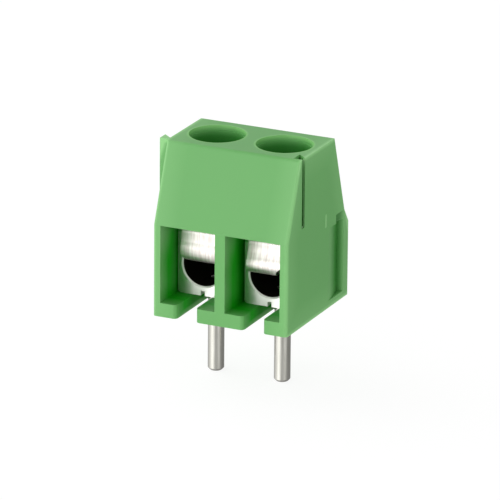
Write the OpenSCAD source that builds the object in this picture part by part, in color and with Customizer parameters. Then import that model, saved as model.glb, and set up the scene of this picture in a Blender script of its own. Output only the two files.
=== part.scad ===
// Two-pole screw terminal block for a printed circuit board.
// Rising-cage family with a wire guard: a fixed clamp body, a screw from above,
// and a bent spring strip that the screw presses onto the wire.
//
// Frame: X along the row of poles, +Y to the back, +Z up. The origin lies on the
// board surface, half way between the two solder pins.

/* [Poles] */
// Distance between the two poles, which is the pin spacing on the board
pitch = 5.08; // [5.00:0.04:5.60]
// Distance from the front face of the housing to the axis of screw and pin
axis_back = 4.85; // [4.60:0.05:5.20]

/* [Housing] */
// Height of the housing above the board
body_h = 12.1; // [11.6:0.1:13.5]
// Depth of the housing at the board, front to back
body_d = 10.2; // [9.8:0.1:11.5]
// Height at which the upright front turns into the sloping front
shoulder_h = 6.6; // [6.4:0.1:7.2]
// How far the front edge of the top lies behind the front face
top_setback = 2.05; // [1.60:0.05:2.20]
// Depth of the flat top, front to back
top_d = 5.65; // [5.40:0.05:6.20]
// Height of the step at the back
back_step_h = 5.4; // [4.8:0.1:6.0]
// Height of the chamfer above the back step
back_chamfer_h = 1.05; // [0.60:0.05:1.30]
// Depth of the chamfer above the back step
back_chamfer_d = 0.7; // [0.40:0.05:1.00]
// Radius of the edges that run across the housing, along top, shoulders and back
edge_r = 0.3; // [0.10:0.05:0.40]
// Radius of the upright and sloping edges at the four corners
corner_r = 0.25; // [0.10:0.05:0.30]

/* [Wire chambers] */
// Thickness of the outer side walls
outer_wall = 0.56; // [0.40:0.02:0.70]
// Thickness of the wall between the poles
mid_wall = 0.76; // [0.60:0.02:1.00]
// Thickness of the floor that the clamp bodies stand on
floor_t = 1.0; // [0.80:0.05:1.20]
// Radius at the mouths of the floor's slots
lip_r = 0.3; // [0.10:0.05:0.40]
// Play of the solder pins in the floor's slots, on each side
slot_play = 0.155; // [0.12:0.005:0.30]

/* [Screw wells] */
// Diameter of the lower well, which guides the screw head
guide_d = 3.64; // [3.60:0.02:3.70]
// Diameter of the upper well, for the screwdriver
well_d = 3.76; // [3.72:0.02:3.84]
// Diameter of the rim recess at the top
rim_d = 3.98; // [3.90:0.02:4.10]
// Depth of the rim recess
rim_depth = 0.36; // [0.20:0.02:0.60]
// Height above the board at which the upper well starts
guide_top = 10.0; // [9.9:0.1:10.4]
// Draft of the head guide and of the rim recess, on the radius
well_draft = 0.02; // [0.01:0.01:0.03]

/* [Side interlocks] */
// Height above the board at which the front hook starts
hook_z = 7.2; // [7.0:0.1:8.5]
// Distance of the hook's front side from the front face
hook_y = 2.3; // [2.25:0.05:2.50]
// Thickness of the hook at the housing
hook_neck = 0.34; // [0.24:0.02:0.40]
// Thickness of the hook at its tip, which is wider, as in half a dovetail
hook_head = 0.86; // [0.70:0.02:0.90]
// How far the hook stands out of the side
hook_reach = 0.62; // [0.50:0.02:0.70]
// Play around hook and rib in the next block's slot
hook_gap = 0.04; // [0.02:0.01:0.06]
// Distance from the front face to the front edge of the rear groove
groove_y = 6.7; // [6.5:0.1:6.9]
// Width of the rear groove, a valley with a long slope and a steep rear wall
groove_w = 2.5; // [2.3:0.1:2.6]
// Depth of the rear groove
groove_depth = 0.42; // [0.30:0.02:0.46]
// Run of the groove's steep rear wall
groove_wall = 0.16; // [0.10:0.02:0.24]
// Height above the board of the groove's lower end
groove_foot = 0.5; // [0.3:0.1:1.0]
// Height above the board of the groove's upper end
groove_h = 5.8; // [5.2:0.1:5.9]
// Height of the sloping pocket over the groove
pocket_h = 0.65; // [0.45:0.05:0.90]
// Length of the pocket, from its deep front end to where it runs out
pocket_l = 1.25; // [1.00:0.05:1.40]
// Depth of the pocket at its front end
pocket_depth = 0.36; // [0.20:0.02:0.44]

/* [Clamp bodies] */
// Distance from the front face of the housing to the clamp body
clamp_in = 2.65; // [2.50:0.05:2.80]
// Depth of the clamp body, front to back
clamp_d = 4.9; // [4.6:0.1:5.2]
// Height of the clamp body
clamp_h = 4.75; // [4.65:0.05:4.85]
// Play between the clamp body and the nearest chamber wall
clamp_gap = 0.08; // [0.04:0.01:0.12]
// Diameter of the wire bore
bore_d = 3.0; // [2.8:0.1:3.0]
// Metal left under the wire bore
bore_floor = 0.7; // [0.60:0.05:0.75]
// Bevel at both mouths of the wire bore
bore_bevel = 0.12; // [0.06:0.01:0.16]
// Radius of the clamp body's long edges
clamp_r = 0.25; // [0.15:0.05:0.35]
// Width of the drawn groove along the clamp body's underside
keel_w = 0.3; // [0.20:0.05:0.40]
// Depth of that groove
keel_d = 0.35; // [0.20:0.05:0.40]

/* [Screws] */
// Thread diameter of the clamp screws
screw_d = 3.0; // [2.8:0.1:3.0]
// Length of the screw under its head
screw_l = 3.7; // [3.6:0.1:3.9]
// Height of the screw head
head_h = 1.6; // [1.4:0.1:1.8]
// Width of the screwdriver slot
drive_w = 0.65; // [0.50:0.05:0.90]
// Depth of the screwdriver slot
drive_depth = 0.85; // [0.60:0.05:1.00]
// Radial play of the thread in the clamp body
thread_play = 0.05; // [0.03:0.01:0.08]
// Radial play of the head in the housing
head_play = 0.08; // [0.05:0.01:0.10]

/* [Wire guards] */
// Thickness of the spring strip
strip_t = 0.25; // [0.20:0.01:0.28]
// Width of the strip in front of the clamp body
strip_w = 3.1; // [3.0:0.1:3.6]
// Width of the flange that lies on the clamp body, round the screw
flange_w = 3.7; // [3.60:0.05:3.75]
// Width of the tongue inside the wire bore
tongue_w = 2.2; // [2.0:0.1:2.3]
// Height above the board of the underside of the tongue
tongue_z = 3.36; // [3.30:0.02:3.44]
// How far the front of the strip bulges out of the clamp body's face
bulge = 0.55; // [0.40:0.05:0.65]
// Outer radius of the upper bend
bend_r = 0.55; // [0.50:0.05:0.60]
// Outer radius of the curl at the lower end of the front
curl_r = 0.62; // [0.54:0.04:0.70]
// Gap between the strip and the clamp body's face
guard_gap = 0.02; // [0.01:0.01:0.04]

/* [Solder pins] */
// Diameter of the solder pins
pin_d = 1.15; // [1.00:0.05:1.20]
// Length of the solder pins below the board surface
pin_l = 5.1; // [3.5:0.1:5.5]
// Bevel at the pin tips
pin_bevel = 0.18; // [0.10:0.02:0.25]
// How much thicker the pin gets at its root, on the radius
pin_root = 0.10; // [0.04:0.02:0.10]
// Diameter of the spigot that is pressed into the clamp body
spigot_d = 0.8; // [0.6:0.1:0.9]

/* [Hidden] */
$fn = 64;
eps = 0.5;                                          // how far a cut runs past a face
body_w = 2 * pitch;
pole_x = pitch / 2;
front = -axis_back;                                 // Y of the front face
back = front + body_d;
cell_w = (body_w - 2 * outer_wall - mid_wall) / 2;
cell_x = (mid_wall + cell_w) / 2;                   // X of a chamber's middle
clamp_w = 2 * (body_w / 2 - outer_wall - clamp_gap - pole_x);
clamp_y0 = front + clamp_in;                        // front face of the clamp body
clamp_y1 = clamp_y0 + clamp_d;
clamp_top = floor_t + clamp_h;
cell_y1 = clamp_y1 + 2 * clamp_gap;
slot_w = pin_d + 2 * slot_play;
nose_r = bend_r - strip_t + 2 * guard_gap;          // rounded edge under the guard's upper bend
bore_z = floor_t + bore_floor + bore_d / 2;
head_d = guide_d - 2 * head_play;
tip_z = tongue_z + strip_t;                         // the screw's tip rests on the tongue
head_z = tip_z + screw_l;
strip_top = clamp_top + strip_t;

// ---- helpers ----

module along_x(w) translate([-w / 2, 0, 0]) rotate([90, 0, 90]) linear_extrude(w) children();

// Points of an arc about [y, z], from angle a to angle b.
function arc(c, r, a, b, n = 10) =
    [for (i = [0 : n]) let (t = a + (b - a) * i / n) [c[0] + r * cos(t), c[1] + r * sin(t)]];

// ---- housing ----

// Side view of the housing: upright front, sloping front, flat top, sloping back, back step.
module body_side() {
    y_top0 = front + top_setback;
    y_top1 = y_top0 + top_d;
    pts = [[front, 0], [front, shoulder_h], [y_top0, body_h], [y_top1, body_h],
           [back - back_chamfer_d, back_step_h + back_chamfer_h],
           [back, back_step_h], [back, 0]];
    intersection() {
        offset(r = edge_r) offset(delta = -edge_r) polygon(concat([[front, -2]], [for (i = [1 : 5]) pts[i]], [[back, -2]]));
        translate([front - 1, 0]) square([body_d + 2, body_h + 1]);
    }
}

// Outline of the housing at height z, from y0 to y1, with round corners in steps of n.
function outline(z, y0, y1, n = 8) = let (r = corner_r, x = body_w / 2 - r)
    [for (c = [[x, y1 - r, 0], [-x, y1 - r, 90], [-x, y0 + r, 180], [x, y0 + r, 270]]) for (i = [0 : n])
        [c[0] + r * cos(c[2] + 90 * i / n), c[1] + r * sin(c[2] + 90 * i / n), z]];

// A solid through outlines of the same number of points, from the lowest to the highest.
module loft(levels) {
    m = len(levels[0]);
    last = (len(levels) - 1) * m;
    polyhedron([for (l = levels) each l],
        concat([[for (i = [0 : m - 1]) i]], [[for (i = [m - 1 : -1 : 0]) last + i]],
               [for (k = [0 : len(levels) - 2]) for (i = [0 : m - 1]) let (j = (i + 1) % m)
                   [k * m + i, (k + 1) * m + i, (k + 1) * m + j, k * m + j]]));
}

module body_block() {
    y_top0 = front + top_setback;
    y_top1 = y_top0 + top_d;
    knee = back_step_h + back_chamfer_h;
    y_knee = back - back_chamfer_d;
    y_shoulder = y_knee + (y_top1 - y_knee) * (shoulder_h - knee) / (body_h - knee);
    intersection() {
        loft([outline(0, front, back), outline(back_step_h, front, back), outline(knee, front, y_knee),
              outline(shoulder_h, front, y_shoulder), outline(body_h, y_top0, y_top1)]);
        along_x(body_w + 1) body_side();
    }
}

// Plan of the front hook, half a dovetail on the left side, grown by g all round for its slot.
module hook_plan(g) {
    y0 = front + hook_y;
    flank = (hook_head - hook_neck) / hook_reach;
    function y_back(x) = y0 + hook_neck - flank * x + g * sqrt(1 + flank * flank);
    tip = -hook_reach - g;
    polygon([[0.1, y0 - g], [tip, y0 - g], [tip, y_back(tip)], [0.1, y_back(0.1)]]);
}

// The rear valley's section as points [depth, y], made shallower and closer by g for the rib that fits it.
function valley(g, n = 12) =
    let (y0 = front + groove_y, run = groove_w - groove_wall)
    concat([for (i = [0 : n]) [max(0, groove_depth * pow(i / n, 1.3) - g), y0 + run * i / n - g / 2]],
           [[0, y0 + groove_w - g]]);

// Plan of the rear groove in the right side.
module groove_plan() {
    v = valley(0);
    x1 = body_w / 2;
    polygon(concat([[x1 + eps, v[0][1]]], [for (p = v) [x1 - p[0], p[1]]], [[x1 + eps, v[len(v) - 1][1]]]));
}

// Plan of the rib on the left side that enters the next block's rear groove.
module rib_plan() {
    v = [for (p = valley(2 * hook_gap)) if (p[0] > 0) p];
    y1 = front + groove_y + groove_w - 2 * hook_gap;
    polygon(concat([[0.1, v[0][1]], [0, v[0][1]]], [for (p = v) [-p[0], p[1]]], [[0, y1], [0.1, y1]]));
}

// Cut for a round hole that widens upwards to diameter d over the height h.
module drafted(d, h) cylinder(d1 = d - 2 * well_draft, d2 = d + 2 * well_draft * eps / h, h = h + eps);

module chamber(s) {
    // wire chamber, open to the front
    translate([s * cell_x - cell_w / 2, front - eps, floor_t])
        cube([cell_w, cell_y1 - front + eps, shoulder_h - floor_t]);
    // slot in the floor, with a rounded mouth, closed behind the pin by a half round
    translate([s * pole_x, 0, -eps]) linear_extrude(floor_t + 2 * eps) {
        translate([-slot_w / 2, front - eps]) square([slot_w, axis_back + eps]);
        difference() {
            translate([-slot_w / 2 - lip_r, front - eps]) square([slot_w + 2 * lip_r, lip_r + eps]);
            for (m = [-1, 1]) translate([m * (slot_w / 2 + lip_r), front + lip_r]) circle(lip_r);
        }
    }
    translate([s * pole_x, 0, -eps]) cylinder(d = slot_w, h = floor_t + 2 * eps);
    // screw well: head guide, driver well, rim recess
    translate([s * pole_x, 0, shoulder_h - eps])
        cylinder(d1 = guide_d, d2 = guide_d + 2 * well_draft, h = guide_top - shoulder_h + eps);
    translate([s * pole_x, 0, guide_top]) cylinder(d = well_d, h = body_h - rim_depth - guide_top);
    translate([s * pole_x, 0, body_h - rim_depth]) drafted(rim_d, rim_depth);
}

module housing() color([0.50, 0.73, 0.47]) {
    difference() {
        union() {
            body_block();
            translate([-body_w / 2, 0, hook_z]) linear_extrude(body_h - hook_z) hook_plan(0);
            translate([-body_w / 2, 0, groove_foot + 2 * hook_gap])
                linear_extrude(groove_h - groove_foot - 4 * hook_gap) rib_plan();
        }
        chamber(-1);
        chamber(1);
        // slot for the next block's hook, open at the top
        translate([body_w / 2, 0, hook_z - 2 * hook_gap]) linear_extrude(body_h) hook_plan(hook_gap);
        // rear groove, with a sloping pocket over it
        translate([0, 0, groove_foot]) linear_extrude(groove_h - groove_foot) groove_plan();
        translate([body_w / 2, front + groove_y + groove_w, groove_h - 0.1]) linear_extrude(pocket_h + 0.1)
            polygon([[eps, 0], [0, 0], [-pocket_depth, -pocket_l], [eps, -pocket_l]]);
    }
}

// ---- clamp body: a block with a wire bore, a tapped hole and a hole for the pin ----

module clamp_body(s) color([0.78, 0.78, 0.76]) translate([s * pole_x, 0, 0]) {
    difference() {
        // long edges rounded, as the block is cut from drawn bar
        translate([0, clamp_y1, 0]) rotate([90, 0, 0]) linear_extrude(clamp_d)
            offset(r = clamp_r) offset(delta = -clamp_r)
                translate([-clamp_w / 2, floor_t]) square([clamp_w, clamp_h]);
        translate([-keel_w / 2, clamp_y0 - eps, floor_t - eps]) cube([keel_w, clamp_d + 2 * eps, keel_d + eps]);
        translate([0, clamp_y1 + eps, bore_z]) rotate([90, 0, 0]) cylinder(d = bore_d, h = clamp_d + 2 * eps);
        for (y = [clamp_y0, clamp_y1]) translate([0, y, bore_z]) rotate([y == clamp_y0 ? -90 : 90, 0, 0])
            translate([0, 0, -0.01]) cylinder(r1 = bore_d / 2 + bore_bevel, r2 = bore_d / 2 - 0.01, h = bore_bevel + 0.02);
        translate([0, 0, bore_z]) cylinder(d = screw_d + 2 * thread_play, h = clamp_h);
        translate([0, 0, floor_t - eps]) cylinder(d = spigot_d, h = bore_floor + bore_d / 2);
        // top front edge rounded, clear of the guard's bend
        translate([0, clamp_y0 + nose_r, clamp_top - nose_r]) along_x(clamp_w + 1) difference() {
            translate([-nose_r - 1, 0]) square([nose_r + 1, nose_r + 1]);
            circle(nose_r);
        }
    }
}

// ---- solder pin: round, bevelled tip, pressed into the underside of the clamp body ----

module solder_pin(s) color([0.80, 0.80, 0.77]) translate([s * pole_x, 0, 0]) {
    rotate_extrude() polygon([
        [0, -pin_l], [pin_d / 2 - pin_bevel, -pin_l], [pin_d / 2, -pin_l + pin_bevel],
        [pin_d / 2, 0], [pin_d / 2 + pin_root, floor_t], [spigot_d / 2, floor_t],
        [spigot_d / 2, floor_t + bore_floor - 0.08], [0, floor_t + bore_floor - 0.08]]);
}

// ---- wire guard: a bent strip; flange on the clamp body, convex front, tongue in the bore ----

// Middle line of the strip in the side view, from the flange's end to the tongue's end.
function guard_line() =
    let (t2 = strip_t / 2,
         r = bend_r - t2,                            // middle radius of the upper bend
         y_v = clamp_y0 - guard_gap - t2,            // upright part, just in front of the clamp body
         z_f = clamp_top + t2,                       // flange
         rb = curl_r - t2,                           // middle radius of the lower curl
         z_c = tongue_z + curl_r,                    // centre of the lower curl
         y_c = clamp_y0 - bulge + curl_r)
    concat([[clamp_y1 - 0.5, z_f], [clamp_y1 - 1, z_f]],
           arc([y_v + r, z_f - r], r, 90, 180, 8),
           [[y_v - 0.02, z_f - r - 0.25]],
           arc([y_c, z_c], rb, 165, 270, 14),
           [[y_c + 0.2, tongue_z + t2], [screw_d / 2, tongue_z + t2],
            [screw_d / 2 + 0.3, tongue_z + t2 + 0.05], [clamp_y1 - 0.7, tongue_z + t2 + 0.25]]);

// A strip of thickness t about a line of points.
module strip(p, t) {
    n = len(p);
    dir = [for (i = [0 : n - 1]) let (d = p[min(i + 1, n - 1)] - p[max(i - 1, 0)]) d / norm(d)];
    side = [for (d = dir) [-d[1], d[0]] * t / 2];
    polygon(concat([for (i = [0 : n - 1]) p[i] + side[i]], [for (i = [n - 1 : -1 : 0]) p[i] - side[i]]));
}

module wire_guard(s) color([0.88, 0.87, 0.84]) translate([s * pole_x, 0, 0]) {
    intersection() {
        along_x(flange_w) strip(guard_line(), strip_t);
        // the blank: a wide flange round the screw, a narrower front, a tongue that enters the bore
        union() {
            translate([-flange_w / 2, clamp_y0 + 0.3, clamp_top - 0.1]) cube([flange_w, clamp_d, 1]);
            translate([-strip_w / 2, clamp_y0 - 2, tongue_z + 0.55]) cube([strip_w, 2.5, clamp_h]);
            translate([0, clamp_y0 - guard_gap, 0]) rotate([90, 0, 0]) linear_extrude(2)
                polygon([[-tongue_w / 2, tongue_z - 0.2], [tongue_w / 2, tongue_z - 0.2],
                         [strip_w / 2, tongue_z + 0.42], [strip_w / 2, tongue_z + 0.6],
                         [-strip_w / 2, tongue_z + 0.6], [-strip_w / 2, tongue_z + 0.42]]);
            translate([-tongue_w / 2, clamp_y0 - 0.05, tongue_z - 0.3]) cube([tongue_w, clamp_d, 1.2]);
        }
    }
}

// ---- clamp screw: slotted cheese head ----

module clamp_screw(s) color([0.72, 0.73, 0.74]) translate([s * pole_x, 0, 0]) {
    difference() {
        rotate_extrude() polygon([
            [0, tip_z], [screw_d / 2 - 0.45, tip_z], [screw_d / 2, tip_z + 0.3],
            [screw_d / 2, head_z], [head_d / 2, head_z],
            [head_d / 2, head_z + head_h - 0.25], [head_d / 2 - 0.25, head_z + head_h], [0, head_z + head_h]]);
        translate([-head_d, -drive_w / 2, head_z + head_h - drive_depth]) cube([2 * head_d, drive_w, drive_depth + 1]);
    }
}

module clamp_body_1() clamp_body(-1);
module clamp_body_2() clamp_body(1);
module wire_guard_1() wire_guard_at(-1);
module wire_guard_2() wire_guard_at(1);
module clamp_screw_1() clamp_screw(-1);
module clamp_screw_2() clamp_screw(1);
module solder_pin_1() solder_pin(-1);
module solder_pin_2() solder_pin(1);

// The guard with the screw's hole in its flange.
module wire_guard_at(s) difference() {
    wire_guard(s);
    translate([s * pole_x, 0, clamp_top - 0.3]) cylinder(d = screw_d + 4 * thread_play, h = 1);
}

housing();
clamp_body_1();
clamp_body_2();
wire_guard_1();
wire_guard_2();
clamp_screw_1();
clamp_screw_2();
solder_pin_1();
solder_pin_2();
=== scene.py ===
# %% [markdown]
# # A two-pole screw terminal, dressed for its close-up
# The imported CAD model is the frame: every solid has its true size and place.
# This lesson adds what a drawing leaves out: the moulded nylon, the plated
# metal, the screw threads, the soft edges and the light.

# %% Load the frame
import math
import bpy
import numpy as np
from mathutils import Matrix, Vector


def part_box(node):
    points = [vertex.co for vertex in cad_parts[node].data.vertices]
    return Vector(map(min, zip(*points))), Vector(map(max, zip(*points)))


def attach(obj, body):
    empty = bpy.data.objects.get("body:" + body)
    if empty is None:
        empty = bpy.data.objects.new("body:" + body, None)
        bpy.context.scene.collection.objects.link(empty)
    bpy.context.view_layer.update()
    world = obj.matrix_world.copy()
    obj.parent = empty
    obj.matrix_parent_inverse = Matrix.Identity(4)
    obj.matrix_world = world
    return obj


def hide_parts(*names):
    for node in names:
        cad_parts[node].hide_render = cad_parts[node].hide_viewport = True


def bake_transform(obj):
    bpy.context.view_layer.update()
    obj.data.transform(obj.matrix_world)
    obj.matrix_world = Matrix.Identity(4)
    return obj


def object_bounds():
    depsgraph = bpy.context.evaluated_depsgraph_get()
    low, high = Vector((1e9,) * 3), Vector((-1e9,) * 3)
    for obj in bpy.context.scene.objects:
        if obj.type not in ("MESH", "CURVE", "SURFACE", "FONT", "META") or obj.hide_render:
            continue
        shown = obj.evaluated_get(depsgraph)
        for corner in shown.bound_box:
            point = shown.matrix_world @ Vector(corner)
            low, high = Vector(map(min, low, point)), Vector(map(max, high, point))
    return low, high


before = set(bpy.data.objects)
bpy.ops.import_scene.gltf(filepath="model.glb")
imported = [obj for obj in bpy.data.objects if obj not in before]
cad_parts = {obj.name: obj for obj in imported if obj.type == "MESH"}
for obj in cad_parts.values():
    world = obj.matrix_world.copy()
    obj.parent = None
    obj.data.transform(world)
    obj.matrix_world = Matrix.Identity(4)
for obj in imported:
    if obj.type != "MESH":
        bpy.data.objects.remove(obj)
cad_box = [list(map(float, corner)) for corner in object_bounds()]
MM = 0.001
print("CAD box in mm:", [[round(v / MM, 2) for v in corner] for corner in cad_box])

# %% [markdown]
# The camera stands a long way off with a long lens, as for a catalogue picture:
# far enough that the upright edges stay nearly parallel. It looks down by 19
# degrees, from 25 degrees to the right of the wire side. A short lens close by
# would show the same part, but its edges would lean together.

# %% Camera
azimuth = math.radians(25.108)
elevation = math.radians(19.007)
roll = math.radians(0.5)
distance = 400          # mm from the middle of the part
field = 34.4163         # mm of the part's surroundings that the picture spans
middle = np.array([0, -0.35, 5.0])

level_right = np.array([math.cos(azimuth), math.sin(azimuth), 0])
toward = np.array([math.sin(azimuth) * math.cos(elevation),
                   -math.cos(azimuth) * math.cos(elevation),
                   math.sin(elevation)])
level_up = np.cross(toward, level_right)
right = math.cos(roll) * level_right + math.sin(roll) * level_up
upward = math.cos(roll) * level_up - math.sin(roll) * level_right
stand = middle + 0.139 * right - 0.793 * upward + distance * toward

camera = bpy.data.objects.new("camera", bpy.data.cameras.new("camera"))
bpy.context.scene.collection.objects.link(camera)
axes = np.column_stack([right, upward, toward, stand * MM])
camera.matrix_world = Matrix(np.vstack([axes, [0, 0, 0, 1]]).tolist())
camera.data.sensor_width = 36
camera.data.lens = camera.data.sensor_width * distance / field
camera.data.clip_start = 0.01
camera.data.clip_end = 10
bpy.context.scene.camera = camera
print("lens", round(camera.data.lens, 1), "mm")

# %% [markdown]
# Colours are written as the hex codes that a colour chart gives, so one
# function turns them into the linear values that light adds up in. A second
# adds a shader node with its settings and links, so that a whole material reads
# as a short list.

# %% Helpers for materials
def linear(code):
    """A hex colour as linear RGBA.
    Each channel c goes to ((c + 0.055) / 1.055) ** 2.4, or to c / 12.92 when it is dark."""
    c = np.array([int(code[i:i + 2], 16) for i in (1, 3, 5)]) / 255
    return (*np.where(c <= 0.04045, c / 12.92, ((c + 0.055) / 1.055) ** 2.4).tolist(), 1.0)


def add(material, kind, at=(0, 0), **settings):
    """Adds a node. A setting that names an input fills it, or links it if it is an output.
    _3 is input number 3, and any other name sets the node itself."""
    tree = material.node_tree
    node = tree.nodes.new(kind)
    node.location = at
    for name, value in settings.items():
        if hasattr(node, name) and not isinstance(value, bpy.types.NodeSocket):
            setattr(node, name, value)
            continue
        socket = node.inputs[int(name[1:])] if name[1:].isdigit() else node.inputs[name.replace("_", " ")]
        if isinstance(value, bpy.types.NodeSocket):
            tree.links.new(value, socket)
        else:
            socket.default_value = value
    return node


def new_material(name):
    """An empty material, ready for nodes."""
    material = bpy.data.materials.new(name)
    material.use_nodes = True
    material.node_tree.nodes.clear()
    return material


print("pure red in linear light:", linear("#FF0000"))

# %% [markdown]
# New pieces are grids of points, worked out as whole arrays. One function turns
# such a grid into a mesh, and one lists the faces of a closed tube.

# %% Helpers for meshes
def mesh_piece(name, points, faces, material, smooth_deg=35):
    """A mesh object from an (n, 3) array of points in millimetres and a list of faces."""
    mesh = bpy.data.meshes.new(name)
    mesh.from_pydata((np.asarray(points, float) * MM).tolist(), [], faces)
    mesh.update()
    piece = bpy.data.objects.new(name, mesh)
    bpy.context.scene.collection.objects.link(piece)
    mesh.polygons.foreach_set("use_smooth", np.ones(len(mesh.polygons), bool))
    mesh.set_sharp_from_angle(angle=math.radians(smooth_deg))
    mesh.materials.append(material)
    return piece


def tube_faces(rows, around):
    """Quads of a grid of rows x around points that closes on itself around, capped at both ends."""
    i, j = np.meshgrid(np.arange(rows - 1), np.arange(around), indexing="ij")
    k = (j + 1) % around
    quads = np.stack([i * around + j, i * around + k, (i + 1) * around + k, (i + 1) * around + j], -1)
    first_cap = list(range(around))[::-1]
    last_cap = [(rows - 1) * around + n for n in range(around)]
    return quads.reshape(-1, 4).tolist() + [first_cap, last_cap]


print("faces of a box as a tube:", len(tube_faces(2, 4)))

# %% [markdown]
# The stage is a pale floor under the pin tips, in a white studio. The camera
# sees it as white paper with a faint shadow. To all other light it is a dimmer
# sheet, and mirror-like surfaces and views from below look through it.

# %% Backdrop paper
bpy.context.scene.view_settings.view_transform = "Standard"
floor_z = cad_box[0][2]
glow_seen = 0.8         # share of its own glow that the camera sees
glow_cast = 0.3         # share of it that falls on the part

paper = new_material("white backdrop paper")
seen = add(paper, "ShaderNodeLightPath", (-900, 200))
share = add(paper, "ShaderNodeMapRange", (-500, 300), Value=seen.outputs["Is Camera Ray"],
            To_Min=glow_cast, To_Max=glow_seen)
matt = add(paper, "ShaderNodeBsdfDiffuse", (-200, 0), Color=linear("#F4F4F4"))
glow = add(paper, "ShaderNodeEmission", (-200, -150), Color=linear("#FFFFFF"), Strength=1.08)
both = add(paper, "ShaderNodeMixShader", (0, 0), _0=share.outputs[0], _1=matt.outputs[0], _2=glow.outputs[0])
clear = add(paper, "ShaderNodeBsdfTransparent", (0, -200))
face = add(paper, "ShaderNodeNewGeometry", (-200, 400))
away = add(paper, "ShaderNodeMath", (0, 300), operation="MAXIMUM",
           _0=seen.outputs["Is Glossy Ray"], _1=face.outputs["Backfacing"])
whole = add(paper, "ShaderNodeMixShader", (200, 0),
            _0=away.outputs[0], _1=both.outputs[0], _2=clear.outputs[0])
add(paper, "ShaderNodeOutputMaterial", (400, 0), Surface=whole.outputs[0])

half_wide, half_long = 400, 500
corners = np.array([[-half_wide, -half_long, 0], [half_wide, -half_long, 0],
                    [half_wide, half_long, 0], [-half_wide, half_long, 0]]) + [0, 0, floor_z / MM]
floor = mesh_piece("floor", corners, [[0, 1, 2, 3]], paper)
print("floor at", round(floor_z / MM, 2), "mm")

# %% [markdown]
# What lights the part is a ring of large soft boxes, brightest low in front and
# on the left, and dim to the right of the camera, so that the right side and the
# wire chambers fall into shade. Each box is a smooth bump of light in the sky.
# Lamps with edges would leave hard streaks on the plated parts.

# %% Soft boxes
world = bpy.data.worlds.new("studio")
bpy.context.scene.world = world
world.use_nodes = True
world.node_tree.nodes.clear()
way = add(world, "ShaderNodeTexCoord", (-1300, 0))


def glow_towards(azimuth_deg, elevation_deg, sharpness, level):
    """Light of a soft box: level * exp(sharpness * (cos(angle to its middle) - 1)).
    Azimuth 0 is in front of the part, and 90 on its right."""
    a, e = math.radians(azimuth_deg), math.radians(elevation_deg)
    box_middle = (math.sin(a) * math.cos(e), -math.cos(a) * math.cos(e), math.sin(e))
    cosine = add(world, "ShaderNodeVectorMath", (-1100, 0), operation="DOT_PRODUCT",
                 _0=way.outputs["Generated"], _1=box_middle)
    power = add(world, "ShaderNodeMath", (-900, 0), operation="MULTIPLY_ADD",
                _0=cosine.outputs["Value"], _1=float(sharpness), _2=float(-sharpness))
    spread = add(world, "ShaderNodeMath", (-700, 0), operation="EXPONENT", _0=power.outputs[0])
    lobe = add(world, "ShaderNodeMath", (-500, 0), operation="MULTIPLY",
               _0=spread.outputs[0], _1=float(level))
    return lobe.outputs[0]


def ring(boxes):
    """All the soft boxes of a list, added together."""
    total = glow_towards(*boxes[0])
    for box in boxes[1:]:
        total = add(world, "ShaderNodeMath", (-300, 0), operation="ADD",
                    _0=total, _1=glow_towards(*box)).outputs[0]
    return total


# each soft box: azimuth and elevation in degrees, sharpness, level
above = [(-12, 2, 8, 2.95), (50, 4, 10, 0.9), (-90, 20, 4, 2.0), (90, 15, 4, 0.85),
         (-140, 20, 4, 0.45), (140, 20, 4, 0.1), (0, 90, 3, 0.32)]
below = [(-60, -19, 2, 0.7), (-25, -19, 10, 1.0), (62, -19, 10, 0.55), (0, -90, 0, 0.26)]

# the sky is lit by one list, what lies under the horizon by the other, and the camera sees plain white
split = add(world, "ShaderNodeSeparateXYZ", (-1100, 300), _0=way.outputs["Generated"])
rise = add(world, "ShaderNodeMapRange", (-900, 300), Value=split.outputs["Z"], From_Min=-0.03, From_Max=0.0)
lit = add(world, "ShaderNodeMix", (-200, 0), data_type="FLOAT",
          _0=rise.outputs[0], _2=ring(below), _3=ring(above))
seen = add(world, "ShaderNodeLightPath", (-700, 300))
shown = add(world, "ShaderNodeMix", (-100, 0), data_type="FLOAT",
            _0=seen.outputs["Is Camera Ray"], _2=lit.outputs[0], _3=1.0)
sky = add(world, "ShaderNodeBackground", (100, 0), Color=linear("#FFFFFF"), Strength=shown.outputs[0])
add(world, "ShaderNodeOutputWorld", (300, 0), Surface=sky.outputs[0])
print("soft boxes:", len(above) + len(below))

# %% [markdown]
# ## Moulded nylon
# The housing is injection-moulded polyamide 66, dyed green through. The outside
# copies a finely spark-eroded mould: a soft, slightly milky gloss with a grain
# of about 0.05 mm. The inside comes off polished cores, so it has no milky haze,
# and its green is painted deeper and darker as shade. How far a point lies below
# the outside, worked out from the planes that bound the block, blends the outside
# into the painted shade of the inside. Paint on each face would do the same, but
# it would not follow a change of size.

# %% Planes that bound the block
block_low, block_high = (np.array([list(corner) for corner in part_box("housing")]) / MM).tolist()
half_w, front_y, back_y, top_z = block_high[0], block_low[1], block_high[1], block_high[2]
shoulder_z = 6.6                # where the upright front ends and the slanted front starts
top_front = front_y + 2.05      # front edge of the top
top_back = front_y + 7.7        # back edge of the top
knee_y, knee_z = back_y - 0.7, 6.45


def plane_through(y0, z0, y1, z1):
    """Unit normal and offset of the plane along X through two points of the side view.
    The points go clockwise from the front, and the normal points outwards."""
    run, rise = y1 - y0, z1 - z0
    size = math.hypot(run, rise)
    normal = (0, -rise / size, run / size)
    return normal, normal[1] * y0 + normal[2] * z0
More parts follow.
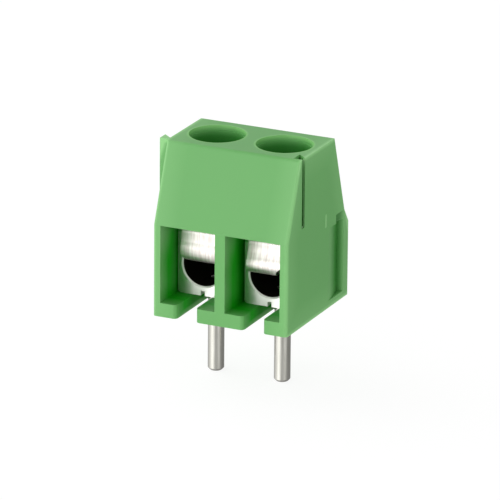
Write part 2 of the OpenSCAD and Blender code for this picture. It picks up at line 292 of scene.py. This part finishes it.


# each plane: outward normal, offset in mm, and the depth in mm below it over which the outside turns into the
# painted inner shade
skins = [((1, 0, 0), half_w, 0.5),
         ((0, 0, -1), 0.0, 0.4),
         ((0, 0, 1), top_z, 2.0),
         ((0, -1, 0), -front_y, 1.3),
         (*plane_through(front_y, shoulder_z, top_front, top_z), 2.2),
         ((0, 1, 0), back_y, 1.0),
         (*plane_through(top_back, top_z, knee_y, knee_z), 1.0)]
print("planes round the block:", len(skins))

# %% [markdown]
# Both sides of the block are alike, so X is folded over to one side. Each plane
# then gives the depth of a point below it. The least change over all planes is
# the mask of the inside, where shade is painted into the green and the gloss drops.

# %% Depth below the outside
nylon = new_material("moulded polyamide 66, green")
place = add(nylon, "ShaderNodeTexCoord", (-1900, 0))
mirrored = add(nylon, "ShaderNodeVectorMath", (-1700, 0), operation="ABSOLUTE", _0=place.outputs["Object"])
split = add(nylon, "ShaderNodeSeparateXYZ", (-1700, -200), _0=place.outputs["Object"])
across = add(nylon, "ShaderNodeSeparateXYZ", (-1500, 0), _0=mirrored.outputs["Vector"])
folded = add(nylon, "ShaderNodeCombineXYZ", (-1300, 0),
             X=across.outputs["X"], Y=split.outputs["Y"], Z=split.outputs["Z"])

depths, changes = [], []
for normal, offset, reach in skins:
    along = add(nylon, "ShaderNodeVectorMath", (-1100, 0), operation="DOT_PRODUCT",
                _0=folded.outputs[0], _1=normal)
    depth = add(nylon, "ShaderNodeMath", (-1000, 0), operation="SUBTRACT",
                _0=offset * MM, _1=along.outputs["Value"])
    change = add(nylon, "ShaderNodeMapRange", (-900, 0), Value=depth.outputs[0],
                 From_Min=0.03 * MM, From_Max=reach * MM)
    depths.append(depth.outputs[0])
    changes.append(change.outputs[0])

side, near = depths[:2]         # depth below the side, and least depth below all the other planes
# inside: the mask of the painted inner shade and of the lower gloss
inside = changes[0]
for depth in depths[2:]:
    near = add(nylon, "ShaderNodeMath", (-700, -100), operation="MINIMUM", _0=near, _1=depth).outputs[0]
for change in changes[1:]:
    inside = add(nylon, "ShaderNodeMath", (-700, 0), operation="MINIMUM", _0=inside, _1=change).outputs[0]
print("depth nodes:", len(nylon.node_tree.nodes))

# %% [markdown]
# The outside carries a faint cloud, as dyed nylon does. The inside gets painted
# shade: deep in the wire chambers less light comes back, so the painted green
# darkens towards the back.

# %% Green outside, painted shade inside
cloud = add(nylon, "ShaderNodeTexNoise", (-800, 200), Vector=place.outputs["Object"],
            Scale=260.0, Detail=3.0, Roughness=0.5)
outer = add(nylon, "ShaderNodeMix", (-500, 200), data_type="RGBA",
            _0=cloud.outputs["Fac"], _6=linear("#63AA5B"), _7=linear("#68B060"))
# painted shade: the inner green, darker towards the back of the chambers
deep = add(nylon, "ShaderNodeMapRange", (-700, 300), Value=split.outputs["Y"],
           From_Min=-3.3 * MM, From_Max=-2.3 * MM)
painted_inner_shade = add(nylon, "ShaderNodeMix", (-500, 300), data_type="RGBA",
            _0=deep.outputs[0], _6=linear("#14A80F"), _7=linear("#0B8209"))
tint = add(nylon, "ShaderNodeMix", (-300, 200), data_type="RGBA",
           _0=inside, _6=outer.outputs[2], _7=painted_inner_shade.outputs[2])
print("nylon nodes so far:", len(nylon.node_tree.nodes))

# %% [markdown]
# Blocks lock side by side, with a hook in a slanted slot and a rib in a shallow
# valley. The valley and the pocket above the groove in it get painted shade.
# The thin lips beside the hook slot get painted light and look pale.

# %% Painted shade in the valley, painted light on the slot lips
slot_y = -2.55                  # middle of the hook slot
groove_top = 5.8                # upper end of the groove in the valley

shell = add(nylon, "ShaderNodeMapRange", (-900, 400), Value=side, From_Min=0.52 * MM, From_Max=0.46 * MM)
wall = add(nylon, "ShaderNodeMapRange", (-900, 450), Value=near,
           From_Min=0.05 * MM, From_Max=0.2 * MM, To_Max=shell.outputs[0])
back = add(nylon, "ShaderNodeMapRange", (-900, 500), Value=split.outputs["Y"],
           From_Min=0.4 * MM, From_Max=0.8 * MM, To_Max=wall.outputs[0])
sunk_side = add(nylon, "ShaderNodeMapRange", (-900, 600), Value=side, From_Min=0.06 * MM, From_Max=0.40 * MM)
above_groove = add(nylon, "ShaderNodeMapRange", (-900, 650), Value=split.outputs["Z"],
                   From_Min=groove_top * MM, From_Max=(groove_top + 0.05) * MM)
pocket = add(nylon, "ShaderNodeMapRange", (-700, 650), Value=side,
             From_Min=0.0, From_Max=0.12 * MM, To_Max=above_groove.outputs[0])
shaded = add(nylon, "ShaderNodeMath", (-600, 600), operation="MAXIMUM",
             _0=sunk_side.outputs[0], _1=pocket.outputs[0])
# painted shade over the valley and the pocket above the groove
painted_valley_shade = add(nylon, "ShaderNodeMath", (-500, 500), operation="MULTIPLY",
             _0=back.outputs[0], _1=shaded.outputs[0])

least = add(nylon, "ShaderNodeMath", (-900, 800), operation="MINIMUM", _0=side, _1=near)
under = add(nylon, "ShaderNodeMapRange", (-700, 800), Value=least.outputs[0],
            From_Min=0.05 * MM, From_Max=0.12 * MM)
hidden = add(nylon, "ShaderNodeMath", (-500, 800), operation="MULTIPLY",
             _0=shell.outputs[0], _1=under.outputs[0])
aside = add(nylon, "ShaderNodeMath", (-1100, 700), operation="SUBTRACT",
            _0=split.outputs["Y"], _1=slot_y * MM)
apart = add(nylon, "ShaderNodeMath", (-900, 700), operation="ABSOLUTE", _0=aside.outputs[0])
slot = add(nylon, "ShaderNodeMapRange", (-700, 700),
           Value=apart.outputs[0], From_Min=0.6 * MM, From_Max=0.5 * MM)
# painted light: the thin lips beside the hook slot are made pale
painted_lip_light = add(nylon, "ShaderNodeMath", (-500, 700), operation="MULTIPLY",
           _0=slot.outputs[0], _1=hidden.outputs[0])
print("slot lips about y =", slot_y, "mm")

# %% [markdown]
# Rounded edges scatter more light than flat faces, most of all right at the
# edge, so a highlight is painted along them. The sum of two depths is small only
# near the edge of a side.

# %% Painted edge highlights
corner = add(nylon, "ShaderNodeMath", (-700, 900), operation="ADD", _0=side, _1=near)
edge_highlight = add(nylon, "ShaderNodeMapRange", (-500, 900), Value=corner.outputs[0],
          From_Min=0.34 * MM, From_Max=0.02 * MM, To_Max=0.62)
edge_highlight_halo = add(nylon, "ShaderNodeMapRange", (-500, 1000), Value=corner.outputs[0],
             From_Min=1.8 * MM, From_Max=0.3 * MM, To_Max=0.13)
# painted highlight: paler right at each edge, and a little paler beside it
edge = add(nylon, "ShaderNodeMath", (-300, 950), operation="MAXIMUM", _0=edge_highlight.outputs[0], _1=edge_highlight_halo.outputs[0])
print("nylon nodes so far:", len(nylon.node_tree.nodes))

# %% [markdown]
# Round each screw hole the lip catches light, which is painted on as a highlight,
# and the well gets painted shade below its first step. Distance from the screw's
# axis and depth below the top find both.

# %% Screw wells
pole_x = 2.54                   # half of the pin spacing: the screw axes and bores lie here
off = add(nylon, "ShaderNodeMath", (-1100, 1100), operation="SUBTRACT",
          _0=across.outputs["X"], _1=pole_x * MM)
flat = add(nylon, "ShaderNodeCombineXYZ", (-900, 1100), X=off.outputs[0], Y=split.outputs["Y"])
radius = add(nylon, "ShaderNodeVectorMath", (-700, 1100), operation="LENGTH", _0=flat.outputs[0])
sunk = add(nylon, "ShaderNodeMath", (-700, 1200), operation="SUBTRACT", _0=top_z * MM, _1=split.outputs["Z"])

lip = add(nylon, "ShaderNodeMapRange", (-500, 1100), Value=radius.outputs["Value"],
          From_Min=2.16 * MM, From_Max=2.0 * MM, To_Max=0.55)
# painted highlight on the lip round the hole
lip_highlight = add(nylon, "ShaderNodeMapRange", (-500, 1200), Value=sunk.outputs[0],
            From_Min=0.30 * MM, From_Max=0.10 * MM, To_Max=lip.outputs[0])
upright = add(nylon, "ShaderNodeMapRange", (-700, 1300), Value=sunk.outputs[0],
              From_Min=5.0 * MM, From_Max=4.0 * MM, To_Max=0.75)
core = add(nylon, "ShaderNodeMapRange", (-500, 1300), Value=radius.outputs["Value"],
           From_Min=2.05 * MM, From_Max=1.97 * MM, To_Max=upright.outputs[0])
# painted shade in the well below its first step
well_shade = add(nylon, "ShaderNodeMapRange", (-300, 1300), Value=sunk.outputs[0],
            From_Min=0.32 * MM, From_Max=0.75 * MM, To_Max=core.outputs[0])
print("screw axes at x = +-", pole_x, "mm")

# %% [markdown]
# The painted shades and highlights go over one another like coats of glaze, each
# where its mask is bright. Haze on the outside is a higher specular level, and the
# grain of the mould is a bump of a few thousandths of a millimetre.

# %% Nylon put together
# painted shade in the valley and the wells, painted light on the slot lips, edges and hole lips
painted_light_and_shade = [(painted_valley_shade, "#2F7A2B"), (painted_lip_light, "#D0F4C8"), (edge, "#A8E89C"), (lip_highlight, "#8FDC7A"), (well_shade, "#1F7A1C")]
for mask, color in painted_light_and_shade:
    tint = add(nylon, "ShaderNodeMix", (100, 300), data_type="RGBA",
               _0=mask.outputs[0], _6=tint.outputs[2], _7=linear(color))

grain = add(nylon, "ShaderNodeTexNoise", (-800, -300), Vector=place.outputs["Object"],
            Scale=9000.0, Detail=3.0, Roughness=0.6)
bump = add(nylon, "ShaderNodeBump", (-400, -300), Strength=0.25, Distance=0.008 * MM,
           Height=grain.outputs["Fac"])
haze = add(nylon, "ShaderNodeMapRange", (-300, 400), Value=inside, To_Min=0.5, To_Max=0.06)
gloss = add(nylon, "ShaderNodeMapRange", (-500, 0), Value=cloud.outputs["Fac"],
            From_Min=0.3, From_Max=0.7, To_Min=0.40, To_Max=0.48)
skin = add(nylon, "ShaderNodeBsdfPrincipled", (300, 0), Base_Color=tint.outputs[2], IOR=1.53,
           Roughness=gloss.outputs["Result"], Normal=bump.outputs["Normal"],
           Specular_IOR_Level=haze.outputs["Result"])
add(nylon, "ShaderNodeOutputMaterial", (600, 0), Surface=skin.outputs[0])
print("nylon nodes:", len(nylon.node_tree.nodes))

# %% [markdown]
# ## Plated metal
# The clamp bodies are cut from drawn brass bar and tin-plated, the guards are
# rolled spring strip with rolling lines along their length, the screws are
# zinc-plated steel, and the pins are drawn wire, tinned for soldering. All four
# are a metal with fine lines, and differ in tone, roughness and the way the
# lines run. Lines of noise stretched along one axis give that at no cost.

# %% Metals
def plated(name, light, dim, rough, streak, depth, spread, drawn_out=0.0):
    """A metal with fine lines, between two tones. Its lines are noise whose scale in 1/m is streak along
    X, Y and Z, pressed in by depth mm. Its roughness is rough +- spread, stretched by drawn_out."""
    metal = new_material(name)
    place = add(metal, "ShaderNodeTexCoord", (-1100, 0))
    drawn = add(metal, "ShaderNodeMapping", (-900, 0), Vector=place.outputs["Object"], Scale=streak)
    lines = add(metal, "ShaderNodeTexNoise", (-700, 0), Vector=drawn.outputs["Vector"],
                Scale=1.0, Detail=4.0, Roughness=0.6)
    gloss = add(metal, "ShaderNodeMapRange", (-450, 0), Value=lines.outputs["Fac"],
                From_Min=0.3, From_Max=0.7, To_Min=rough - spread, To_Max=rough + spread)
    tone = add(metal, "ShaderNodeMapRange", (-450, 200),
               Value=lines.outputs["Fac"], From_Min=0.35, From_Max=0.65)
    color = add(metal, "ShaderNodeMix", (-250, 200), data_type="RGBA", name="tone",
                _0=tone.outputs[0], _6=linear(light), _7=linear(dim))
    bump = add(metal, "ShaderNodeBump", (-450, -300), Strength=0.6, Distance=depth * MM,
               Height=lines.outputs["Fac"])
    grooves = add(metal, "ShaderNodeCombineXYZ", (-450, -500), X=1.0, Y=0.05, Z=0.0)
    skin = add(metal, "ShaderNodeBsdfPrincipled", (-100, 0), name="skin", Base_Color=color.outputs[2],
               Metallic=1.0,
               Roughness=gloss.outputs["Result"], Normal=bump.outputs["Normal"], Tangent=grooves.outputs[0],
               Anisotropic=drawn_out, Anisotropic_Rotation=0.25)
    add(metal, "ShaderNodeOutputMaterial", (200, 0), Surface=skin.outputs[0])
    return metal


tin_bar = plated("tin-plated drawn brass", "#F8F7F2", "#ECEBE4", 0.38, (1200, 1500, 5000), 0.001, 0.05, 0.9)
rolled_strip = plated("bright rolled spring strip", "#FFFBF6", "#E2D8D3", 0.42, (9000, 900, 500), 0.003, 0.05)
zinc_steel = plated("zinc-plated steel", "#CDD0D2", "#BFC3C6", 0.30, (5000, 5000, 5000), 0.004, 0.06)
tin_wire = plated("tinned copper wire", "#D8D7CF", "#C8C7BE", 0.14, (7000, 7000, 500), 0.001, 0.04)
print("metals:", [metal.name for metal in (tin_bar, rolled_strip, zinc_steel, tin_wire)])

# %% [markdown]
# The wire bore gets painted shade: it is coloured near-black inside and reflects
# little, with a bright bevel round its mouth. Every point nearer to the bore's
# axis than its radius belongs to it. The riveted end of each pin, which shows in
# the bottom of the bore, gets the same painted shade.

# %% Painted shade in the bores and on the rivets
# painted shade: near-black for the inside of the bores and the rivet ends
painted_bore_shade = linear("#15110C")
bore_z, bore_r = 3.2, 1.52      # height of the bore's axis, and its radius with the wall just inside
rivet_z = 1.05                  # a pin is dark above this height

place = add(tin_bar, "ShaderNodeTexCoord", (-1100, 500))
split = add(tin_bar, "ShaderNodeSeparateXYZ", (-900, 500), _0=place.outputs["Object"])
aside = add(tin_bar, "ShaderNodeMath", (-700, 500), operation="ABSOLUTE", _0=split.outputs["X"])
across = add(tin_bar, "ShaderNodeMath", (-500, 500), operation="SUBTRACT",
             _0=aside.outputs[0], _1=pole_x * MM)
height = add(tin_bar, "ShaderNodeMath", (-700, 350), operation="SUBTRACT",
             _0=split.outputs["Z"], _1=bore_z * MM)
radial = add(tin_bar, "ShaderNodeCombineXYZ", (-300, 450), X=across.outputs[0], Z=height.outputs[0])
radius = add(tin_bar, "ShaderNodeVectorMath", (-100, 450), operation="LENGTH", _0=radial.outputs[0])
bore_shade = add(tin_bar, "ShaderNodeMapRange", (100, 450), Value=radius.outputs["Value"],
           From_Min=(bore_r + 0.01) * MM, From_Max=(bore_r - 0.01) * MM)
bevel = add(tin_bar, "ShaderNodeMapRange", (100, 700), Value=radius.outputs["Value"],
            From_Min=1.64 * MM, From_Max=1.60 * MM)

color = add(tin_bar, "ShaderNodeMix", (300, 450), data_type="RGBA",
            _0=bore_shade.outputs[0], _6=linear("#F4F3EE"), _7=painted_bore_shade)
matt = add(tin_bar, "ShaderNodeMapRange", (300, 900), Value=bevel.outputs[0], To_Min=1.0, To_Max=0.3)
dull = add(tin_bar, "ShaderNodeMapRange", (300, 250), Value=bore_shade.outputs[0], To_Min=0.5, To_Max=0.05)
bar_skin = tin_bar.node_tree.nodes["skin"]
for output, socket in ((color.outputs[2], "Base Color"), (matt.outputs[0], "Metallic"),
                       (dull.outputs[0], "Specular IOR Level")):
    tin_bar.node_tree.links.new(output, bar_skin.inputs[socket])

place = add(tin_wire, "ShaderNodeTexCoord", (-700, 500))
split = add(tin_wire, "ShaderNodeSeparateXYZ", (-500, 500), _0=place.outputs["Object"])
# painted shade on each pin above rivet_z
rivet_shade = add(tin_wire, "ShaderNodeMapRange", (-300, 500), Value=split.outputs["Z"],
            From_Min=rivet_z * MM, From_Max=1.1 * MM, To_Min=1.0, To_Max=0.0)
plating = tin_wire.node_tree.nodes["tone"].outputs[2]
color = add(tin_wire, "ShaderNodeMix", (-100, 500), data_type="RGBA",
            _0=rivet_shade.outputs[0], _6=painted_bore_shade, _7=plating)
wire_skin = tin_wire.node_tree.nodes["skin"]
for output, socket in ((color.outputs[2], "Base Color"), (rivet_shade.outputs[0], "Metallic")):
    tin_wire.node_tree.links.new(output, wire_skin.inputs[socket])
print("materials:", len(bpy.data.materials))

# %% [markdown]
# ## Housing
# The CAD solid already has the right shape. A modifier welds its loose
# triangles, a second dissolves flat ones into whole faces, and a third rounds
# every sharp edge by about a tenth of a millimetre, as a moulding's edges are.
# Rounding each edge by hand would give the same form and take far longer.

# %% Dressing the housing
def soften(piece, width, angle=32, segments=3):
    """Welds, merges flat faces, rounds the edges sharper than angle by width mm and evens the shading."""
    weld = piece.modifiers.new("weld", "WELD")
    weld.merge_threshold = 0.002 * MM
    flat = piece.modifiers.new("flat", "DECIMATE")
    flat.decimate_type = "DISSOLVE"
    flat.angle_limit = math.radians(1.0)
    edge = piece.modifiers.new("edge", "BEVEL")
    edge.width = width * MM
    edge.segments = segments
    edge.limit_method = "ANGLE"
    edge.angle_limit = math.radians(angle)
    edge.miter_outer = "MITER_ARC"
    edge.use_clamp_overlap = True
    edge.harden_normals = False
    shade = piece.modifiers.new("shade", "WEIGHTED_NORMAL")
    shade.keep_sharp = False
    piece.data.polygons.foreach_set("use_smooth", np.ones(len(piece.data.polygons), bool))


def dress(piece, material):
    """Gives a piece one material in place of what it had."""
    piece.data.materials.clear()
    piece.data.materials.append(material)


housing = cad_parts["housing"]
dress(housing, nylon)
soften(housing, 0.13)
print("housing dressed in", nylon.name)

# %% [markdown]
# On the right side a small upright mark stands a hundredth of a millimetre
# proud: the trace of the gate through which the nylon was shot. It is a flat
# pill, smoother than the grained skin round it and painted paler as a highlight.

# %% Gate mark, painted as a highlight
trace = new_material("moulded polyamide 66, gate trace painted as a highlight")
# painted highlight: the mark is coloured paler than the nylon round it
skin = add(trace, "ShaderNodeBsdfPrincipled", (0, 0), Base_Color=linear("#84C47A"), Roughness=0.35)
add(trace, "ShaderNodeOutputMaterial", (200, 0), Surface=skin.outputs[0])


def pill(x, y, z, half_long, half_wide, high, n=24):
    """A pill lying on the plane at x: outlines scaled by 1 and 0.7, from 0.1 mm below it to high above it.
    An outline is a circle of radius half_wide, pulled apart along Z to end half_long from its middle."""
    turn = np.linspace(0, 2 * np.pi, 2 * n, endpoint=False)
    yy = half_wide * np.cos(turn)
    zz = half_wide * np.sin(turn) + (half_long - half_wide) * np.sign(np.sin(turn) + 1e-9)
    outlines = [(-0.10, 1.0), (0.4 * high, 1.0), (high, 0.7)]
    points = [np.column_stack([x + up + 0 * yy, y + k * yy, z + zz - (1 - k) * half_wide * np.sin(turn)])
              for up, k in outlines]
    return mesh_piece("gate_mark", np.vstack(points), tube_faces(len(outlines), 2 * n), trace)


mark = pill(half_w, front_y + 6.25, 6.5, half_long=0.5, half_wide=0.12, high=0.01)
mark.parent = housing
print("gate mark on the right side,", len(mark.data.polygons), "faces")

# %% [markdown]
# ## Clamp bodies and pins
# These solids need nothing but their metal and a broken edge, as a barrel
# leaves on small sawn and turned parts. The modifiers of the housing do it.

# %% Clamp bodies and pins
for i in (1, 2):
    clamp_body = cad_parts[f"clamp_body_{i}"]
    solder_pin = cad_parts[f"solder_pin_{i}"]
    dress(clamp_body, tin_bar)
    soften(clamp_body, 0.05)
    dress(solder_pin, tin_wire)
    soften(solder_pin, 0.04)
    print(clamp_body.name, "and", solder_pin.name, "dressed")

# %% [markdown]
# ## Wire guards
# Each guard is one strip of spring metal, bent twice: a flange on the clamp
# body, a front that bulges towards the wire, and a tongue under the screw's tip.
# A side view line gives the bends. A thin rounded section is carried along it,
# and its width follows the blank: wide flange, narrower front, slim tongue.
# Box modelling could bend a strip too, but its thickness would wander.

# %% A line through points, and a rounded section
def box_mm(node):
    """Lowest and highest corner of a CAD node, in millimetres."""
    return np.array([list(corner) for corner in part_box(node)]) / MM


def through(points, step):
    """A smooth line through the points, one every step millimetres.
    Between points P1 and P2 it is the cubic (Catmull-Rom) with slopes (P2 - P0) / 2 and (P3 - P1) / 2."""
    p = np.asarray(points, float)
    p = np.vstack([2 * p[0] - p[1], p, 2 * p[-1] - p[-2]])
    parts = []
    for a, b, c, d in zip(p[:-3], p[1:-2], p[2:-1], p[3:]):
        t = np.linspace(0, 1, max(2, math.ceil(np.linalg.norm(c - b) / step)), endpoint=False)[:, None]
        square = t**2 * (a - 2.5 * b + 2 * c - d / 2)
        cube = t**3 * (1.5 * (b - c) + (d - a) / 2)
        parts.append(b + t * (c - a) / 2 + square + cube)
    return np.vstack([*parts, p[-2:-1]])


def rounded_section(n=6):
    """A closed section, as pairs (w, t) from -1 to 1 with round corners, and the sign of each corner.
    A point is half width times w and half thickness times t, pulled in by the corner's radius."""
    turn = np.radians(np.concatenate([np.linspace(k, k + 90, n) for k in (0, 90, 180, 270)]))
    sign = np.repeat([[1, 1], [-1, 1], [-1, -1], [1, -1]], n, axis=0)
    return np.stack([np.cos(turn), np.sin(turn)], -1), sign


def strip_points(line, left, right, thick, x0, radius=0.05):
    """Rounded strip along a side-view line of (y, z) points: P(s, v) = line(s) + x(v) * X + t(v) * n(s).
    n is the line's normal. x runs from -left(s) to right(s) about x0, and t from -thick / 2 to thick / 2."""
    along = np.gradient(line, axis=0)
    along /= np.linalg.norm(along, axis=1)[:, None]
    normal = np.stack([-along[:, 1], along[:, 0]], -1)
    section, sign = rounded_section()
    half = np.where(sign[None, :, 0] > 0, right[:, None], left[:, None]) - radius
    x = x0 + sign[None, :, 0] * half + radius * section[None, :, 0]
    t = sign[None, :, 1] * (thick / 2 - radius) + radius * section[None, :, 1]
    yz = line[:, None, :] + t[..., None] * normal[:, None, :]
    return np.concatenate([x[..., None], yz], -1).reshape(-1, 3), len(section)


print("points round a strip:", len(rounded_section()[0]))

# %% [markdown]
# The flange has a round hole for the screw. It is cut with a rod of that size,
# and the rod is then taken away. The same cutting makes the driver slots below.

# %% Cutting
def cut(piece, tool):
    """Cuts the tool's shape out of the piece for good, and takes the tool away."""
    knife = piece.modifiers.new("cut", "BOOLEAN")
    knife.operation = "DIFFERENCE"
    knife.solver = "EXACT"
    knife.object = tool
    shape = bpy.data.meshes.new_from_object(piece.evaluated_get(bpy.context.evaluated_depsgraph_get()))
    piece.modifiers.clear()
    piece.data = shape
    bpy.data.objects.remove(tool)


def rod(radius, z0, z1, x0, around=64):
    """A closed upright rod about (x0, 0): (x0 + r cos a, r sin a) at the heights z0 and z1."""
    turn = np.linspace(0, 2 * np.pi, around, endpoint=False)
    circle = np.stack([x0 + radius * np.cos(turn), radius * np.sin(turn)], -1)
    points = np.vstack([np.column_stack([circle, np.full(around, z)]) for z in (z0, z1)])
    return mesh_piece("rod", points, tube_faces(2, around), rolled_strip)


# %% [markdown]
# The two guards were bent alike but sit a little differently, as springs do, so
# each has its own front and its own foot. The flange lies on the clamp body and
# the tongue under the screw's tip.

# %% Wire guards
STRIP_THICK = 0.25
FLANGE_BEND = 0.42              # middle radius of the upper bend
TONGUE_HALF = 1.05              # half width of the slim tongue
SCREW_HOLE = 1.6                # radius of the hole in the flange


def guard_line(front, face, back, top, under):
    """The side view of a guard as (y, z) points, from the back of the flange to the tip of the tongue."""
    turn = np.radians(np.linspace(90, 172, 6))
    y_bend = face - 0.02 - STRIP_THICK / 2 + FLANGE_BEND
    points = [[back, top], [back - 1, top], [y_bend + 0.8, top]]
    points += np.stack([y_bend + FLANGE_BEND * np.cos(turn),
                        top - FLANGE_BEND + FLANGE_BEND * np.sin(turn)], -1).tolist()
    points += [[face + y, under + z] for y, z in front]
    points += [[face + 0.75, under], [0, under - 0.005], [1.2, under], [1.9, under + 0.16]]
    return through(points, 0.05)


def evened(half_widths):
    """Half widths averaged over nine neighbours along the strip, so that its outline has no corners."""
    return np.convolve(np.pad(half_widths, 4, "edge"), np.ones(9) / 9, "valid")


def guard(i, front, foot_left, foot_right):
    """Guard i. front is its outer side view below the upper bend, as (y, z) points.
    There y runs back from the clamp's face and z up from the tongue.
    Each foot is a list of heights above the tongue and the half widths there."""
    low, high = box_mm(f"wire_guard_{i}")
    body_low, body_high = box_mm(f"clamp_body_{i}")
    x0, face = (body_low[0] + body_high[0]) / 2, body_low[1]
    top = high[2] - STRIP_THICK / 2                                 # middle of the flange
    screw_tip = box_mm(f"clamp_screw_{i}")[0][2]
    under = screw_tip - STRIP_THICK / 2                             # middle of the tongue
    line = guard_line(front, face, high[1], top, under)
    on_flange = (line[:, 0] > face + 0.25) & (line[:, 1] > top - 0.2)
    height = line[:, 1] - under
    on_tongue = (line[:, 0] > face - 0.02) & (height < 0.4)
    sides = []
    for at, half in (foot_left, foot_right):
        below_flange = np.where(on_tongue, min(TONGUE_HALF, half[0]), np.interp(height, at, half))
        sides.append(evened(np.where(on_flange, (high[0] - low[0]) / 2, below_flange)))
    points, around = strip_points(line, *sides, STRIP_THICK, x0)
    piece = mesh_piece(f"spring_guard_{i}", points, tube_faces(len(line), around), rolled_strip)
    cut(piece, rod(SCREW_HOLE, top - 0.4, top + 0.4, x0))
    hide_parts(f"wire_guard_{i}")
    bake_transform(piece)
    length = np.linalg.norm(np.diff(line, axis=0), axis=1).sum()
    print(piece.name, len(piece.data.polygons), "faces, strip", round(float(length), 1), "mm long")


guard(1, front=[(-0.15, 1.75), (-0.19, 1.42), (-0.34, 1.00), (-0.33, 0.60), (-0.18, 0.24), (0.2, 0.03)],
      foot_left=([-1, 0.1, 0.5, 9], [1.25, 1.25, 1.55, 1.55]),
      foot_right=([-1, 0.1, 0.5, 9], [1.15, 1.15, 1.55, 1.55]))
guard(2, front=[(-0.15, 1.75), (-0.21, 1.45), (-0.34, 1.12), (-0.48, 0.82),
                (-0.54, 0.54), (-0.42, 0.25), (-0.1, 0.03)],
      foot_left=([-1, 0.1, 0.5, 9], [1.50, 1.50, 1.55, 1.55]),
      foot_right=([-1, 0.0, 0.35, 0.5, 0.8, 9], [0.6, 0.62, 0.74, 0.9, 1.55, 1.55]))

# %% [markdown]
# ## Clamp screws
# The thread is a surface of two numbers, the turn and the height: its radius
# drops from the crest to the root and back once in each pitch of 0.5 mm, and
# the crest climbs as the turn goes on, which makes the thread right-handed.
# The head is a turned profile with rounded edges and a milled driver slot. A
# helix swept along a path would cross itself at the tip, and this one can't.

# %% Turned shapes and threads
THREAD_PITCH = 0.5
THREAD_RADIUS = 1.46


def revolve(profile, x0, around=96):
    """Closed surface of revolution about (x0, 0).
    Each (r, z) of the profile gives the circle (x0 + r cos a, r sin a, z)."""
    turn = np.linspace(0, 2 * np.pi, around, endpoint=False)
    r, z = np.asarray(profile, float).T
    points = np.stack([x0 + r[:, None] * np.cos(turn), r[:, None] * np.sin(turn), z[:, None] + 0 * turn], -1)
    return points.reshape(-1, 3), tube_faces(len(r), around)


def arc(y, z, radius, start, end, n=6):
    """Points of an arc about (y, z) from angle start to end, in degrees."""
    turn = np.radians(np.linspace(start, end, n))
    return np.stack([y + radius * np.cos(turn), z + radius * np.sin(turn)], -1).tolist()


def thread(x0, z0, z1, around=72, per_pitch=14):
    """r(a, z) = radius - depth * |2 frac(z / pitch - a / 360 deg) - 1|, flattened at crest and root.
    It fades into the full radius at z1, and is turned down to a cone at the tip, z0."""
    depth, rows = 0.61 * THREAD_PITCH, int((z1 - z0) / THREAD_PITCH * per_pitch)
    z = np.linspace(z0, z1, rows)[:, None]
    turn = np.linspace(0, 2 * np.pi, around, endpoint=False)[None, :]
    wave = np.abs(2 * ((z / THREAD_PITCH - turn / (2 * np.pi)) % 1) - 1)
    fade = np.clip((z1 - z) / 0.6, 0, 1)
    r = THREAD_RADIUS - depth * np.clip((wave - 0.1) / 0.75, 0, 1) * fade
    r = np.minimum(r, THREAD_RADIUS - 0.42 + 1.3 * (z - z0))
    points = np.stack([x0 + r * np.cos(turn), r * np.sin(turn), z + 0 * turn], -1)
    return points.reshape(-1, 3), tube_faces(rows, around)


print("thread", 2 * THREAD_RADIUS, "mm over the crests, pitch", THREAD_PITCH, "mm")

# %% [markdown]
# Each screw takes its place and its head's width from its CAD solid. The head
# rides on the screw's body, and the thread hangs on the head, so both turn.

# %% Clamp screws
HEAD_HIGH = 1.6
FOOT_ROUND, CROWN_ROUND = 0.08, 0.22        # edge radii below and on top of the head
SLOT_DEEP, SLOT_HALF = 0.85, 0.325          # depth and half width of the driver slot


def screw(i):
    """Screw i: a head turned from its profile and slotted, on a threaded shank."""
    low, high = box_mm(f"clamp_screw_{i}")
    x0, head_r = (low[0] + high[0]) / 2, (high[0] - low[0]) / 2
    top, seat = high[2], high[2] - HEAD_HIGH
    profile = [[0.01, seat],
               *arc(head_r - FOOT_ROUND, seat + FOOT_ROUND, FOOT_ROUND, -90, 0),
               *arc(head_r - CROWN_ROUND, top - CROWN_ROUND, CROWN_ROUND, 0, 90),
               [0.01, top]]
    head = mesh_piece(f"slotted_screw_{i}", *revolve(profile, x0), zinc_steel, 40)
    outline = [(-3, -SLOT_HALF), (3, -SLOT_HALF), (3, SLOT_HALF), (-3, SLOT_HALF)]
    slot = np.array([[x0 + x, y, z] for z in (top - SLOT_DEEP, top + 1) for x, y in outline])
    cut(head, mesh_piece("slot", slot, tube_faces(2, len(outline)), zinc_steel))
    edge = head.modifiers.new("edge", "BEVEL")
    edge.width = 0.04 * MM
    edge.segments = 2
    edge.limit_method = "ANGLE"
    edge.angle_limit = math.radians(40)
    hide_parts(f"clamp_screw_{i}")
    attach(head, f"screw_{i}")
    shank = mesh_piece(f"screw_thread_{i}", *thread(x0, low[2], seat + 0.05), zinc_steel, 60)
    shank.parent = head
    print(head.name, "head", round(2 * head_r, 2), "mm, thread", len(shank.data.polygons), "faces")


screw(1)
screw(2)
